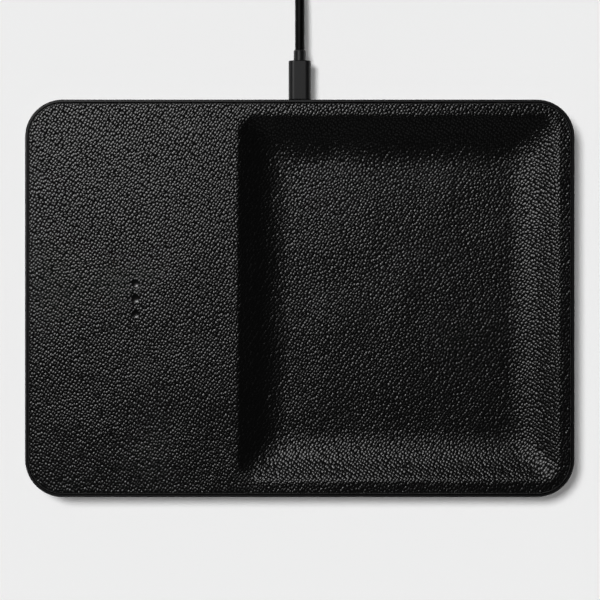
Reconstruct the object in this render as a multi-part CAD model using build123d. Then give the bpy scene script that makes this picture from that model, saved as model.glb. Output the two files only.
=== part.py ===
from build123d import *

import math
import os

# A leather-topped wireless charging tray with a catch-all recess and its plug-in cable.
# Millimetres. +X is to the right and +Y to the back, where the cable plugs in. +Z is up.
# The origin is at the bottom centre of the tray, on the surface that it stands on.

# Overall tray
tray_length = 264.0
tray_depth = 191.0
tray_corner = 18.0
tray_height = 16.0
overrun = 1.0

# Non-slip pad and base plate
pad_inset = 6.0
pad_thickness = 1.2
pad_edge_round = 0.4
pad_hole_margin = 1.0
base_inset = 4.5
base_thickness = 1.6
base_gap = 0.15

# Rim frame: a thin wall with a thicker foot, and a flange trapped over the base plate
rim_wall = 1.15
rim_drop = 0.8
rim_top_round = 0.45
rim_foot_round = 3.0
flange_inset = 7.5
flange_thickness = 1.2

# Leather cover
leather_inset = 1.55
leather_thickness = 1.2
leather_edge_round = 1.4
skirt_lift = 1.0
crest_round = 5.5

# Recess: straight slopes that curve into the floor without an edge
border_width = 8.0
charge_width = 102.4
floor_gap = 3.3
wall_width = 24.2
wall_slope = 24.0
recess_corner = 8.0
cove_steps = 6

# Charging area and its three pressed dimples
charge_offset = 53.0
dimple_pitch = 7.4
dimple_radius = 2.0
dimple_drop = 0.3

# Moulded form under the leather
form_wall = 1.8
form_plate = 1.6
form_floor = 2.0
form_rib_width = 2.0
form_rib_side_inset = 23.0
form_rib_end_inset = 4.5
form_rib_count = 3

# Base screws and their bosses
base_screw_inset = 13.0
base_screw_board_inset = 12.0
base_screw_length = 6.0
base_boss_radius = 3.0

# Screws: radii of shank and head, head height and driver slot
screw_shank = 1.2
screw_head = 2.3
screw_head_height = 1.1
screw_slot_width = 0.6
screw_slot_depth = 0.5
screw_gap = 0.05
small_shank = 0.9
small_head = 1.7
small_head_height = 0.9
small_screw_length = 5.0
small_boss_radius = 2.4

# Charging coils, ferrite and their carrier
coil_size_x = 53.2
coil_size_y = 45.2
coil_band = 12.8
coil_corner = 18.0
coil_thickness = 1.2
coil_side_gap = 0.3
ferrite_side_margin = 0.9
ferrite_end_margin = 2.5
ferrite_corner = 1.0
ferrite_thickness = 1.0
carrier_plate = 1.5
carrier_edge = 2.0
carrier_fit = 0.2
carrier_corner = 3.0
ear_radius = 4.0
ear_reach = 4.5
ear_share = 0.4
thermistor_radius = 1.1
thermistor_height = 1.0

# Boards
board_thickness = 1.2
board_lift = 3.0
board_corner = 1.0
board_boss_gap = 0.5
board_carrier_gap = 3.0
board_back_inset = 11.5
board_back_margin = 5.0
board_right_margin = 12.0
board_screw_inset = 4.0
board_screw_gap = 1.6
usb_board_depth = 16.9
usb_board_gap = 0.3
usb_board_margin = 2.8
usb_screw_gap = 1.33
usb_screw_inset = 7.0

# Parts on the main board
row_gap = 2.0
boss_part_gap = 1.3
chip_size = 6.0
chip_height = 0.9
driver_size = 4.0
driver_offset = 4.0
driver_gap = 0.5
inductor_size = 6.6
inductor_height = 3.0
inductor_corner = 1.2
inductor_gap = 2.4
capacitor_size_x = 5.7
capacitor_size_y = 5.0
capacitor_height = 2.5
capacitor_gap = 1.0

# Coil leads and their headers on the main board
lead_radius = 0.5
lead_bend = 1.6
lead_pitch = 1.4
lead_gap = 0.15
lead_shelf = 2.0
lead_run_in = 2.6
rear_lead_offset = 17.0
front_lead_offset = 1.6
front_lead_share = 0.1
header_length = 7.0
header_depth = 4.0
header_height = 3.4
header_inset = 4.5
header_side_margin = 0.6

# Flat flex cable between the boards
flex_width = 4.5
flex_thickness = 0.2
flex_front_margin = 0.9
flex_lift = 0.4
flex_connector_length = 3.0
flex_connector_width = 5.8
flex_connector_height = 1.0
flex_connector_inset = 0.8
flex_boss_gap = 1.6

# USB-C socket
socket_width = 8.94
socket_height = 3.26
socket_depth = 7.9
socket_wall = 0.27
socket_back_wall = 1.0
socket_set_back = 0.3
tongue_side_room = 0.855
tongue_thickness = 0.7
tongue_set_back = 1.7
port_gap = 0.3
notch_gap = 0.6

# USB-C plug
plug_clearance = 0.08
plug_end_gap = 0.85
plug_shell_wall = 0.3
plug_slot_gap = 0.12
plug_slot_end_gap = 1.05
plug_tip_set_back = 0.1
body_gap = 0.3
body_width = 10.7
body_height = 5.6
body_length = 18.9
body_corner = 2.7
body_front_round = 0.4
body_back_round = 0.5
collar_wall = 0.65
collar_length = 5.1
collar_round = 0.6

# Cord and its coil
cord_radius = 2.25
cord_drop_run = 25.0
cord_drop_length = 14.0
cord_drift = 0.9
cord_run = 11.5
coil_radius = 35.5
turn_gap = 0.5
turns_per_layer = 4
run_share = 0.45
gap_steps = 12
tail_run = 8.0
tail_drop_length = 13.5
tail_last_run = 9.0

# Strap round the coil
tie_width = 11.0
tie_thickness = 0.6
tie_gap = 0.1
tie_side_gap = 1.6
tie_corner = 1.8

# USB-A plug on the far end
far_body_width = 15.7
far_body_height = 7.6
far_body_length = 24.0
far_body_corner = 2.4
far_round = 1.0
far_collar_wall = 0.85
far_collar_length = 5.0
far_shell_width = 12.0
far_shell_height = 4.5
far_shell_length = 18.75
far_shell_wall = 0.3
far_shell_corner = 0.5
far_window_size = 2.2
far_window_spacing = 5.4
far_window_set_back = 7.0
far_insulator_height = 1.9
far_insulator_set_back = 0.5

# Heights that follow from the sizes above
base_bottom = pad_thickness
base_top = base_bottom + base_thickness
flange_top = base_top + flange_thickness
rim_top = tray_height - rim_drop
form_inset = leather_inset + leather_thickness
form_top = tray_height - leather_thickness
form_underside = form_top - form_plate
floor_height = base_top + floor_gap + form_floor + leather_thickness
recess_drop = tray_height - floor_height
wall_angle = math.radians(wall_slope)
cove_radius = (wall_width - recess_drop / math.tan(wall_angle)) / math.tan(wall_angle / 2)
cove_centre = floor_height + cove_radius
middle_coil_bottom = form_underside - coil_thickness
side_coil_bottom = middle_coil_bottom - coil_thickness
ferrite_bottom = side_coil_bottom - ferrite_thickness
carrier_bottom = ferrite_bottom - carrier_plate
board_bottom = base_top + board_lift
board_top = board_bottom + board_thickness
socket_z = board_top + socket_height / 2

# Places along the tray: the recess fills what the charging area and the border leave
tray_back = tray_depth / 2
rim_inner_back = tray_back - rim_wall
recess_length = tray_length - charge_width - border_width
recess_depth = tray_depth - 2 * border_width
recess_x = (tray_length - recess_length) / 2 - border_width
charge_x = charge_offset - tray_length / 2

# The charging coils, and the ferrite that covers all three
side_coil_offset = coil_size_y / 2 + coil_side_gap
ferrite_size_x = coil_size_x + 2 * ferrite_side_margin
ferrite_size_y = coil_size_y + 2 * side_coil_offset + 2 * ferrite_end_margin

# The main board: its length spans the coil leads, and its depth holds its rows of parts
front_lead_x = charge_x - coil_size_x / 2 - front_lead_offset - lead_pitch / 2
rear_lead_x = charge_x + rear_lead_offset
main_board_left = front_lead_x - header_length / 2 - header_side_margin
main_board_right = rear_lead_x + board_right_margin
main_board_x = (main_board_left + main_board_right) / 2
main_board_back = tray_back - board_back_inset
driver_y = main_board_back - board_back_margin - driver_size / 2
capacitor_rows = 2 * capacitor_size_y + capacitor_gap
row_y = driver_y - driver_size / 2 - driver_gap - capacitor_rows
header_back = row_y - row_gap
header_y = header_back - header_depth / 2
main_board_front = header_back - header_depth - header_inset
base_screw_middle_x = base_screw_board_inset - main_board_right
charge_y = main_board_front - board_carrier_gap - carrier_edge - ferrite_size_y / 2

# The socket's board, with its screws beside the socket and the flex cable's connector at its left end
usb_screw_x = socket_width / 2 + small_boss_radius + usb_screw_gap
usb_board_right = usb_screw_x + usb_board_margin
flex_connector_right = -usb_screw_x - small_boss_radius - flex_boss_gap
usb_board_left = flex_connector_right - flex_connector_length - flex_connector_inset
usb_board_back = rim_inner_back - usb_board_gap
usb_board_front = usb_board_back - usb_board_depth
flex_y = usb_board_front + flex_front_margin + flex_connector_width / 2

# The socket and the plug in it
socket_front = tray_back - socket_set_back
socket_back = socket_front - socket_depth
tongue_start = socket_back + socket_back_wall
tongue_end = socket_front - tongue_set_back
tongue_width = socket_width - 2 * socket_wall - 2 * tongue_side_room
body_start = tray_back + body_gap
body_end = body_start + body_length
plug_start = tongue_start + plug_end_gap
collar_end = body_end + collar_length
collar_radius = cord_radius + collar_wall
far_collar_radius = cord_radius + far_collar_wall

# The cord rests on the surface, raised only by the strap that passes under its coil
cord_low = cord_radius + tie_thickness + tie_gap
lead_end_y = collar_end + cord_drop_run + cord_drop_length + 2 * cord_run
end_straight = 2 * cord_radius
turn_pitch = 2 * cord_radius + turn_gap
coil_centre_x = cord_drift + coil_radius
coil_centre_y = lead_end_y + end_straight
coil_top_z = cord_low + turn_pitch
inner_radius = coil_radius - turns_per_layer * turn_pitch
tail_y = coil_centre_y + coil_radius
tail_start_x = coil_centre_x + end_straight
far_z = far_body_height / 2
far_start_x = tail_start_x + tail_run + tail_drop_length + tail_last_run

# Points of the cord's route from the near plug to the coil, and from the coil to the far plug
lead_route = [
    (0, collar_end, socket_z),
    (0, collar_end + cord_drop_run, socket_z),
    (0, collar_end + cord_drop_run + cord_drop_length, cord_low),
    (cord_drift, lead_end_y - cord_run, cord_low),
    (cord_drift, lead_end_y, cord_low),
]
tail_route = [
    (tail_start_x, tail_y, coil_top_z),
    (tail_start_x + tail_run, tail_y, coil_top_z),
    (far_start_x - tail_last_run, tail_y, far_z),
    (far_start_x, tail_y, far_z),
]


def inset_plate(inset, bottom, top):
    """The tray's outline moved inwards, standing between two heights."""
    outline = RectangleRounded(tray_length - 2 * inset, tray_depth - 2 * inset, tray_corner - inset)
    return extrude(Pos(0, 0, bottom) * outline, top - bottom)


def rounded_block(x, y, bottom, length, depth, height, corner):
    """A block with rounded upright corners, standing on a height."""
    return extrude(Pos(x, y, bottom) * RectangleRounded(length, depth, corner), height)


def block(x, y, bottom, length, depth, height):
    """A plain block centred on a place and standing on a height."""
    return Pos(x, y, bottom + height / 2) * Box(length, depth, height)


def post(x, y, bottom, top, radius):
    """An upright round post between two heights."""
    return Pos(x, y, (bottom + top) / 2) * Cylinder(radius, top - bottom)


def bar_back(x, start, z, width, height, corner, length):
    """A rounded bar that runs towards the back."""
    plane = Plane(origin=(x, start, z), x_dir=(1, 0, 0), z_dir=(0, 1, 0))
    return extrude(plane * RectangleRounded(width, height, corner), length)


def bar_right(start, y, z, width, height, corner, length):
    """A rounded bar that runs to the right."""
    plane = Plane(origin=(start, y, z), x_dir=(0, 1, 0), z_dir=(1, 0, 0))
    return extrude(plane * RectangleRounded(width, height, corner), length)


def rod_back(x, start, z, radius, length):
    """A round rod that runs towards the back."""
    plane = Plane(origin=(x, start, z), x_dir=(1, 0, 0), z_dir=(0, 1, 0))
    return extrude(plane * Circle(radius), length)


def rod_right(start, y, z, radius, length):
    """A round rod that runs to the right."""
    plane = Plane(origin=(start, y, z), x_dir=(0, 1, 0), z_dir=(1, 0, 0))
    return extrude(plane * Circle(radius), length)


def basin(skin, top):
    """The recess, grown outwards by a skin's thickness and cut off level at a height."""
    radius = cove_radius + skin
    steps = []
    for step in range(cove_steps + 1):
        angle = wall_angle * step / cove_steps
        steps.append((wall_width - radius * math.sin(angle), cove_centre - radius * math.cos(angle)))
    slope_inset, slope_bottom = steps[-1]
    for share in (1 / 2, 1):
        rise = share * (top - slope_bottom)
        steps.append((slope_inset - rise / math.tan(wall_angle), slope_bottom + rise))
    sections = []
    for inset, height in steps:
        outline = RectangleRounded(recess_length - 2 * inset, recess_depth - 2 * inset, recess_corner + skin)
        sections.append(Pos(recess_x, 0, height) * outline)
    return loft(sections)


def base_screw_places():
    """Four screws along the front edge and four along the back."""
    corner_x = tray_length / 2 - base_screw_inset
    row_y = tray_depth / 2 - base_screw_inset
    columns = (-corner_x, -base_screw_middle_x, base_screw_middle_x, corner_x)
    return [(x, y) for y in (-row_y, row_y) for x in columns]


def carrier_screw_places():
    """One ear on each side of the carrier, near its front and near its back."""
    reach_x = ferrite_size_x / 2 + carrier_edge + ear_reach
    reach_y = ferrite_size_y * ear_share
    return [(charge_x + sx * reach_x, charge_y + sy * reach_y) for sx in (-1, 1) for sy in (-1, 1)]


def main_board_screw_places():
    """Two near the left end of the main board and one near its right end, behind the headers."""
    left_x = main_board_left + board_screw_inset
    right_x = main_board_right - board_screw_inset
    front_y = header_back + board_screw_gap + small_boss_radius
    back_y = main_board_back - board_back_margin
    return [(left_x, front_y), (left_x, back_y), (right_x, front_y)]


def usb_board_screw_places():
    """One each side, in front of the socket."""
    return [(side * usb_screw_x, usb_board_front + usb_screw_inset) for side in (-1, 1)]


def screw(x, y, seat, shank, head, head_height, length, countersunk):
    """A screw driven upwards, with its head's driving face at the given height."""
    if countersunk:
        cap = Pos(x, y, seat + head_height / 2) * Cone(head, shank, head_height)
    else:
        cap = post(x, y, seat, seat + head_height, head)
    solid = cap + post(x, y, seat + head_height / 2, seat + length, shank)
    for length_x, length_y in ((head, screw_slot_width), (screw_slot_width, head)):
        solid -= block(x, y, seat - overrun, length_x, length_y, overrun + screw_slot_depth)
    return solid


def small_screws(places):
    """Pan-head screws that hold something up against bosses that start at the given height."""
    solids = []
    for x, y, seat in places:
        head_bottom = seat - small_head_height - screw_gap
        solids.append(screw(x, y, head_bottom, small_shank, small_head, small_head_height,
                            small_screw_length, False))
    return Compound(solids)


def make_non_slip_pad():
    pad = inset_plate(pad_inset, 0, pad_thickness)
    pad = fillet(pad.edges().group_by(Axis.Z)[0], pad_edge_round)
    for x, y in base_screw_places():
        pad -= post(x, y, -overrun, pad_thickness + overrun, screw_head + pad_hole_margin)
    return pad


def make_base_plate():
    plate = inset_plate(base_inset, base_bottom, base_top)
    for x, y in base_screw_places():
        plate -= post(x, y, base_bottom - overrun, base_top + overrun, screw_shank + screw_gap)
        sink = Cone(screw_head + screw_gap, screw_shank + screw_gap, screw_head_height)
        plate -= Pos(x, y, base_bottom + screw_head_height / 2) * sink
    return plate


def make_base_screws():
    return Compound([
        screw(x, y, base_bottom, screw_shank, screw_head, screw_head_height, base_screw_length, True)
        for x, y in base_screw_places()
    ])


def make_rim_frame():
    rim = inset_plate(0, base_bottom, rim_top)
    rim = fillet(rim.edges().group_by(Axis.Z)[0], rim_foot_round)
    rim = fillet(rim.edges().group_by(Axis.Z)[-1], rim_top_round)
    rim -= inset_plate(rim_wall, flange_top, rim_top + overrun)
    rim -= inset_plate(flange_inset, base_bottom - overrun, flange_top + overrun)
    rim -= inset_plate(base_inset - base_gap, base_bottom - overrun, base_top)
    port_width = socket_width + 2 * port_gap
    port_height = socket_height + 2 * port_gap
    port_corner = socket_height / 2
    rim -= bar_back(0, rim_inner_back - overrun, socket_z, port_width, port_height, port_corner,
                    rim_wall + 2 * overrun)
    return rim


def rear_notch():
    """Room in the back wall, open below, for the socket and the end of its board."""
    left = usb_board_left - notch_gap
    right = usb_board_right + notch_gap
    front = tray_back - form_inset - form_wall - overrun
    top = socket_z + socket_height / 2 + notch_gap
    return block((left + right) / 2, (front + tray_back) / 2, base_top, right - left, tray_back - front,
                 top - base_top)


def make_leather_top():
    leather = inset_plate(leather_inset, flange_top + skirt_lift, tray_height)
    leather = fillet(leather.edges().group_by(Axis.Z)[-1], leather_edge_round)
    hollow = inset_plate(form_inset, flange_top, form_top)
    leather -= fillet(hollow.edges().group_by(Axis.Z)[-1], leather_edge_round - leather_thickness)
    leather += basin(leather_thickness, tray_height - leather_thickness / 2)
    leather -= basin(0, tray_height + overrun)
    reach_x = recess_length / 2 + overrun
    reach_y = recess_depth / 2 + overrun
    crest = [
        edge for edge in leather.edges().filter_by_position(Axis.Z, tray_height, tray_height)
        if abs(edge.center().X - recess_x) < reach_x and abs(edge.center().Y) < reach_y
    ]
    leather = fillet(crest, crest_round)
    for row in (-1, 0, 1):
        ball_radius = (dimple_radius**2 + dimple_drop**2) / (2 * dimple_drop)
        ball_z = tray_height - dimple_drop + ball_radius
        leather -= Pos(charge_x, charge_y + row * dimple_pitch, ball_z) * Sphere(ball_radius)
    return leather - rear_notch()


def make_top_form():
    form = inset_plate(form_inset, flange_top, form_top)
    form = fillet(form.edges().group_by(Axis.Z)[-1], leather_edge_round - leather_thickness)
    form -= inset_plate(form_inset + form_wall, flange_top - overrun, form_underside)
    form += basin(leather_thickness + form_floor, form_top - form_plate / 2)
    rib_length = recess_depth - 2 * wall_width - 2 * form_rib_end_inset
    rib_span = recess_length - 2 * wall_width - 2 * form_rib_side_inset
    rib_top = floor_height - leather_thickness - form_floor / 2
    for number in range(form_rib_count):
        rib_x = recess_x + (number / (form_rib_count - 1) - 1 / 2) * rib_span
        form += block(rib_x, 0, base_top, form_rib_width, rib_length, rib_top - base_top)
    form -= rear_notch()
    top = form_top - form_plate / 2
    for x, y in base_screw_places():
        form += post(x, y, base_top, top, base_boss_radius)
    for x, y in carrier_screw_places():
        form += post(x, y, ferrite_bottom, top, small_boss_radius)
    for x, y in main_board_screw_places() + usb_board_screw_places():
        form += post(x, y, board_top, top, small_boss_radius)
    form -= basin(leather_thickness, form_top + overrun)
    for x, y in base_screw_places():
        hole_top = base_bottom + base_screw_length + screw_gap
        form -= post(x, y, base_top - overrun, hole_top, screw_shank + screw_gap)
    for x, y in carrier_screw_places():
        depth = small_screw_length - carrier_plate
        form -= post(x, y, ferrite_bottom - overrun, ferrite_bottom + depth, small_shank + screw_gap)
    for x, y in main_board_screw_places() + usb_board_screw_places():
        depth = small_screw_length - board_thickness
        form -= post(x, y, board_top - overrun, board_top + depth, small_shank + screw_gap)
    return form


def make_charging_coil(offset, bottom):
    """A flat racetrack winding, in front of or behind the middle of the charging area."""
    y = charge_y + offset
    outer = rounded_block(charge_x, y, bottom, coil_size_x, coil_size_y, coil_thickness, coil_corner)
    inner_x = coil_size_x - 2 * coil_band
    inner_y = coil_size_y - 2 * coil_band
    inner_corner = coil_corner - coil_band
    inner = rounded_block(charge_x, y, bottom, inner_x, inner_y, coil_thickness, inner_corner)
    return outer - inner


def make_ferrite_sheet():
    return rounded_block(charge_x, charge_y, ferrite_bottom, ferrite_size_x, ferrite_size_y,
                         ferrite_thickness, ferrite_corner)


def make_coil_carrier():
    size_x = ferrite_size_x + 2 * carrier_edge
    size_y = ferrite_size_y + 2 * carrier_edge
    height = carrier_plate + ferrite_thickness
    carrier = rounded_block(charge_x, charge_y, carrier_bottom, size_x, size_y, height, carrier_corner)
    for x, y in carrier_screw_places():
        arm_x = (x + charge_x) / 2
        carrier += block(arm_x, y, carrier_bottom, abs(x - charge_x), 2 * ear_radius, carrier_plate)
        carrier += post(x, y, carrier_bottom, ferrite_bottom, ear_radius)
    pocket_x = ferrite_size_x + 2 * carrier_fit
    pocket_y = ferrite_size_y + 2 * carrier_fit
    carrier -= rounded_block(charge_x, charge_y, ferrite_bottom, pocket_x, pocket_y, ferrite_thickness,
                             ferrite_corner)
    for x, y in carrier_screw_places():
        carrier -= post(x, y, carrier_bottom - overrun, ferrite_bottom + overrun, small_shank + screw_gap)
    return carrier


def make_thermistor():
    top = middle_coil_bottom + thermistor_height
    return post(charge_x, charge_y, middle_coil_bottom, top, thermistor_radius)


def make_main_board():
    length = main_board_right - main_board_left
    depth = main_board_back - main_board_front
    middle_y = (main_board_back + main_board_front) / 2
    board = rounded_block(main_board_x, middle_y, board_bottom, length, depth, board_thickness, board_corner)
    for x, y in base_screw_places():
        board -= post(x, y, board_bottom - overrun, board_top + overrun, base_boss_radius + board_boss_gap)
    for x, y in main_board_screw_places():
        board -= post(x, y, board_bottom - overrun, board_top + overrun, small_shank + screw_gap)
    return board


def make_controller_chips():
    """The controller, level with the capacitors, and its two drivers behind it."""
    chips = [block(main_board_x, row_y + capacitor_rows / 2, board_top, chip_size, chip_size, chip_height)]
    for side in (-1, 1):
        x = main_board_x + side * driver_offset
        chips.append(block(x, driver_y, board_top, driver_size, driver_size, chip_height))
    return Compound(chips)


def make_power_inductors():
    """Two in a column, beside the screws at the board's left end."""
    screw_x = main_board_left + board_screw_inset
    x = screw_x + small_boss_radius + boss_part_gap + inductor_size / 2
    solids = []
    for number in (0, 1):
        y = row_y + inductor_size / 2 + number * (inductor_size + inductor_gap)
        solids.append(rounded_block(x, y, board_top, inductor_size, inductor_size, inductor_height,
                                    inductor_corner))
    return Compound(solids)


def make_resonance_capacitors():
    """Four in a square, beside the screw at the board's right end."""
    screw_x = main_board_right - board_screw_inset
    right_x = screw_x - small_boss_radius - boss_part_gap - capacitor_size_x / 2
    solids = []
    for column in (0, 1):
        for row in (0, 1):
            x = right_x - column * (capacitor_size_x + capacitor_gap)
            y = row_y + capacitor_size_y / 2 + row * (capacitor_size_y + capacitor_gap)
            solids.append(block(x, y, board_top, capacitor_size_x, capacitor_size_y, capacitor_height))
    return Compound(solids)


def header_places():
    """X of each coil's header on the main board: rear, middle and front coil."""
    return (rear_lead_x, main_board_x, front_lead_x)


def make_coil_headers():
    return Compound([
        block(x, header_y, board_top, header_length, header_depth, header_height) for x in header_places()
    ])


def wire(points, radius, bend):
    """A round wire or lead along straight runs with rounded corners."""
    path = FilletPolyline(*points, radius=bend)
    direction = Vector(*points[1]) - Vector(*points[0])
    start = Plane(origin=points[0], z_dir=direction)
    return sweep(start * Circle(radius), path=path)


def make_coil_leads():
    """A pair of leads from each coil, over the carrier's edge and down into its header."""
    shelf_y = charge_y + ferrite_size_y / 2 + carrier_edge + lead_shelf
    end_y = header_y - header_depth / 2 - lead_gap
    header_z = board_top + header_height / 2
    side_z = side_coil_bottom + coil_thickness / 2
    over_z = middle_coil_bottom + lead_radius + lead_gap
    middle_start = charge_y + coil_size_y / 2 + lead_gap
    starts = (
        (middle_start + side_coil_offset, side_z),
        (middle_start, over_z),
        (charge_y - side_coil_offset * (1 - front_lead_share), side_z),
    )
    solids = []
    for x, (start_y, z) in zip(header_places(), starts):
        for side in (-1, 1):
            lead_x = x + side * lead_pitch / 2
            points = [
                (lead_x, start_y, z),
                (lead_x, shelf_y, z),
                (lead_x, end_y - lead_run_in, header_z),
                (lead_x, end_y, header_z),
            ]
            solids.append(wire(points, lead_radius, lead_bend))
    return Compound(solids)


def make_usb_board():
    length = usb_board_right - usb_board_left
    middle_x = (usb_board_right + usb_board_left) / 2
    middle_y = usb_board_back - usb_board_depth / 2
    board = rounded_block(middle_x, middle_y, board_bottom, length, usb_board_depth, board_thickness,
                          board_corner)
    for x, y in usb_board_screw_places():
        board -= post(x, y, board_bottom - overrun, board_top + overrun, small_shank + screw_gap)
    return board


def flex_connector_places():
    """X of the connectors, near the facing ends of the two boards."""
    half = flex_connector_length / 2 + flex_connector_inset
    return (main_board_right - half, usb_board_left + half)


def make_flex_connectors():
    """Two low connectors with a mouth each for the flex cable."""
    solids = []
    mouth = flex_slot()
    for x in flex_connector_places():
        body = block(x, flex_y, board_top, flex_connector_length, flex_connector_width,
                     flex_connector_height)
        solids.append(body - mouth)
    return Compound(solids)


def flex_slot():
    """The space of the flex cable with a little room all round."""
    left, right = flex_connector_places()
    width = flex_width + 2 * screw_gap
    thickness = flex_thickness + 2 * screw_gap
    bottom = board_top + flex_lift - screw_gap
    return block((left + right) / 2, flex_y, bottom, right - left, width, thickness)


def make_flex_cable():
    left, right = flex_connector_places()
    length = right - left - 2 * screw_gap
    return block((left + right) / 2, flex_y, board_top + flex_lift, length, flex_width, flex_thickness)


def make_socket_shell():
    corner = socket_height / 2 - socket_wall
    shell = bar_back(0, socket_back, socket_z, socket_width, socket_height, corner, socket_depth)
    inner_width = socket_width - 2 * socket_wall
    inner_height = socket_height - 2 * socket_wall
    inner_corner = corner - socket_wall
    return shell - bar_back(0, tongue_start, socket_z, inner_width, inner_height, inner_corner, socket_depth)


def make_socket_tongue():
    return bar_back(0, tongue_start, socket_z, tongue_width, tongue_thickness, tongue_thickness / 4,
                    tongue_end - tongue_start)


def plug_size(shrink):
    """Width, height and corner radius of the plug's nose, moved inwards."""
    gap = socket_wall + plug_clearance + shrink
    corner = socket_height / 2 - socket_wall - gap
    return socket_width - 2 * gap, socket_height - 2 * gap, corner


def make_plug_shell():
    length = body_start - plug_start
    width, height, corner = plug_size(0)
    shell = bar_back(0, plug_start, socket_z, width, height, corner, length)
    width, height, corner = plug_size(plug_shell_wall)
    return shell - bar_back(0, plug_start, socket_z, width, height, corner, length)


def make_plug_insulator():
    width, height, corner = plug_size(plug_shell_wall)
    start = plug_start + plug_tip_set_back
    filling = bar_back(0, start, socket_z, width, height, corner, body_start - start)
    slot_width = tongue_width + 2 * plug_slot_gap
    slot_height = tongue_thickness + 2 * plug_slot_gap
    slot_depth = tongue_end + plug_slot_end_gap - start
    return filling - bar_back(0, start, socket_z, slot_width, slot_height, slot_height / 4, slot_depth)


def make_plug_overmould():
    body = bar_back(0, body_start, socket_z, body_width, body_height, body_corner, body_length)
    body = fillet(body.edges().group_by(Axis.Y)[-1], body_back_round)
    return fillet(body.edges().group_by(Axis.Y)[0], body_front_round)


def make_plug_collar():
    collar = rod_back(0, body_end, socket_z, collar_radius, collar_length)
    return fillet(collar.edges().group_by(Axis.Y)[-1], collar_round)


def bend_radii(points):
    """The largest arc that each corner's two runs allow."""
    radii = []
    for before, corner, after in zip(points, points[1:], points[2:]):
        run_in = Vector(*corner) - Vector(*before)
        run_out = Vector(*after) - Vector(*corner)
        half_turn = math.radians(run_in.get_angle(run_out)) / 2
        radii.append(run_share * min(run_in.length, run_out.length) / math.tan(half_turn))
    return radii


def cord_tube(name, points):
    """A stretch of cord along straight runs joined by tangent arcs."""
    radii = bend_radii(points)
    path = FilletPolyline(*points, radius=radii)
    direction = Vector(*points[1]) - Vector(*points[0])
    start = Plane(origin=points[0], z_dir=direction)
    tube = sweep(start * Circle(cord_radius), path=path)
    expected = math.pi * cord_radius**2 * path.length
    print(name, "bend radii", [round(radius, 1) for radius in radii])
    print(name, "length", round(path.length, 1), "volume over section times length",
          round(tube.volume / expected, 4))
    return tube


def coil_arcs():
    """Half turns that spiral in, a climbing half turn, and half turns that spiral out again."""
    half_turns = 2 * turns_per_layer
    x = coil_centre_x - coil_radius
    y = coil_centre_y
    z = cord_low
    radius = coil_radius
    forwards = 1
    arcs = []
    for number in range(half_turns):
        across = forwards * radius
        end = (x + 2 * across, y, z)
        arcs.append(ThreePointArc((x, y, z), (x + across, y + across, z), end))
        x = end[0]
        radius -= turn_pitch / 2
        forwards = -forwards
    reach = math.hypot(radius, turn_pitch / 2)
    middle = (x + radius, y + reach, z + turn_pitch / 2)
    end = (x + 2 * radius, y, z + turn_pitch)
    arcs.append(TangentArc((x, y, z), middle, tangent=(0, 1, 0)))
    arcs.append(TangentArc(middle, end, tangent=arcs[-1] % 1))
    x = end[0]
    z = end[2]
    forwards = -1
    for number in range(half_turns - 1):
        radius += turn_pitch / 2
        across = forwards * radius
        end = (x + 2 * across, y, z)
        arcs.append(ThreePointArc((x, y, z), (x + across, y + across, z), end))
        x = end[0]
        forwards = -forwards
    radius += turn_pitch / 2
    arcs.append(TangentArc((x, y, z), (x + radius, y + radius, z), tangent=(0, 1, 0)))
    return arcs


def least_gap(curve, steps_per_edge):
    """The least clear distance between turns, measured on points along the winding."""
    points = []
    for edge in curve.edges():
        for step in range(steps_per_edge):
            points.append(edge @ (step / steps_per_edge))
    reach = math.pi * inner_radius
    travelled = [0.0]
    for before, after in zip(points, points[1:]):
        travelled.append(travelled[-1] + (after - before).length)
    least = math.inf
    for first in range(len(points)):
        for second in range(first + 1, len(points)):
            if travelled[second] - travelled[first] > reach:
                least = min(least, (points[first] - points[second]).length)
    return least - 2 * cord_radius


def make_cord_coil():
    arcs = coil_arcs()
    start = arcs[0] @ 0
    finish = arcs[-1] @ 1
    before = Line(start - Vector(0, end_straight, 0), start)
    after = Line(finish, finish + Vector(end_straight, 0, 0))
    path = Wire([edge for line in [before] + arcs + [after] for edge in line.edges()])
    section = Plane(origin=before @ 0, z_dir=(0, 1, 0)) * Circle(cord_radius)
    tube = sweep(section, path=path)
    expected = math.pi * cord_radius**2 * path.length
    print("cord_coil length", round(path.length, 1), "volume over section times length",
          round(tube.volume / expected, 4))
    print("cord_coil least gap", round(least_gap(path, gap_steps), 2))
    return tube


def make_cord_tie():
    """A strap round one side of the coil's turns."""
    inner_left = coil_centre_x + inner_radius - cord_radius - tie_side_gap
    inner_right = coil_centre_x + coil_radius + cord_radius + tie_side_gap
    inner_bottom = tie_thickness
    inner_top = coil_top_z + cord_radius + tie_gap
    x = (inner_left + inner_right) / 2
    z = (inner_bottom + inner_top) / 2
    width = inner_right - inner_left
    height = inner_top - inner_bottom
    start = coil_centre_y - tie_width / 2
    strap = bar_back(x, start, z, width + 2 * tie_thickness, height + 2 * tie_thickness,
                     tie_corner + tie_thickness, tie_width)
    return strap - bar_back(x, start, z, width, height, tie_corner, tie_width)


def make_far_collar():
    collar = rod_right(far_start_x, tail_y, far_z, far_collar_radius, far_collar_length)
    return fillet(collar.edges().group_by(Axis.X)[0], collar_round)


def make_far_overmould():
    start = far_start_x + far_collar_length
    body = bar_right(start, tail_y, far_z, far_body_width, far_body_height, far_body_corner, far_body_length)
    body = fillet(body.edges().group_by(Axis.X)[0], body_back_round)
    return fillet(body.edges().group_by(Axis.X)[-1], far_round)


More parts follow.
